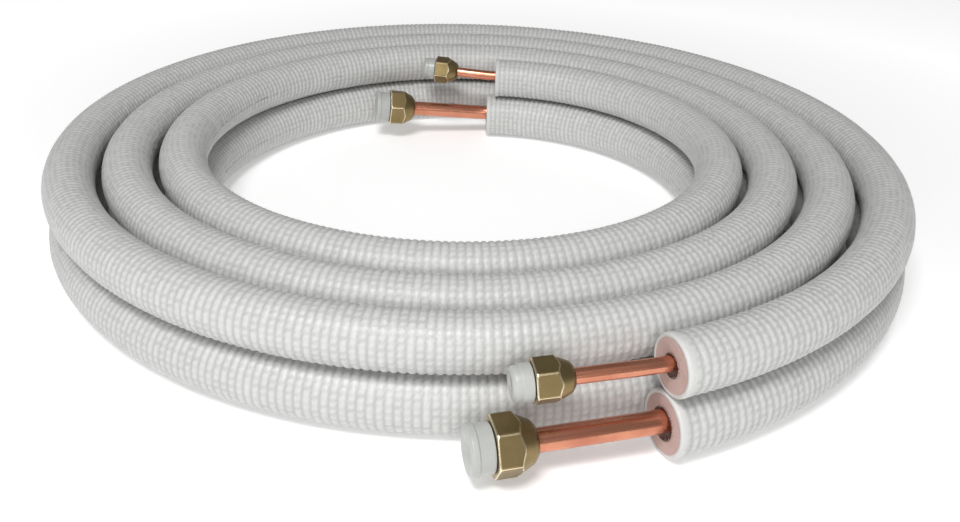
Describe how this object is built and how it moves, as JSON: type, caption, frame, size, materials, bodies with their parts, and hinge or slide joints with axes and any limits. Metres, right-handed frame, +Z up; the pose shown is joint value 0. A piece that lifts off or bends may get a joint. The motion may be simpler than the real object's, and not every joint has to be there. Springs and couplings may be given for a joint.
{
  "type": "mini split line set",
  "caption": "Two insulated soft copper refrigerant lines wound as flat spirals, the small one lying on the large one, with a capped flare nut on every bare end.",
  "frame": {"origin": "on the floor, under the middle of the whole set's box", "axes": "+Z up, through the coil's eye; +Y towards the side where the inner ends lie; the outer ends come off at the -Y side"},
  "size_m": [0.4698, 0.4826, 0.0539],
  "materials": {
    "sleeve_foam": "matte",
    "copper": "satin",
    "nut_brass": "satin",
    "cap_plastic": "satin"
  },
  "bodies": {
    "line_set": {"liquid_line_sleeve": "sleeve_foam", "liquid_line_tube": "copper", "gas_line_sleeve": "sleeve_foam", "gas_line_tube": "copper"},
    "liquid_inner_fitting": {"liquid_inner_nut": "nut_brass", "liquid_inner_cap": "cap_plastic"},
    "liquid_outer_fitting": {"liquid_outer_nut": "nut_brass", "liquid_outer_cap": "cap_plastic"},
    "gas_inner_fitting": {"gas_inner_nut": "nut_brass", "gas_inner_cap": "cap_plastic"},
    "gas_outer_fitting": {"gas_outer_nut": "nut_brass", "gas_outer_cap": "cap_plastic"}
  },
  "joints": [
    {"name": "liquid_inner_nut_swivel", "type": "hinge", "parent": "line_set", "child": "liquid_inner_fitting", "pos_m": [-0.0377, 0.13534, 0.04499], "axis": [-0.9972, 0.0263, 0.0698], "continuous": true},
    {"name": "liquid_outer_nut_swivel", "type": "hinge", "parent": "line_set", "child": "liquid_outer_fitting", "pos_m": [0.0363, -0.22113, 0.04062], "axis": [-0.9648, -0.2605, -0.0349], "continuous": true},
    {"name": "gas_inner_nut_swivel", "type": "hinge", "parent": "line_set", "child": "gas_inner_fitting", "pos_m": [-0.06813, 0.11867, 0.02179], "axis": [-0.9673, -0.235, 0.0958], "continuous": true},
    {"name": "gas_outer_nut_swivel", "type": "hinge", "parent": "line_set", "child": "gas_outer_fitting", "pos_m": [0.02276, -0.22887, 0.01558], "axis": [-0.9477, -0.3191, 0], "continuous": true}
  ]
}
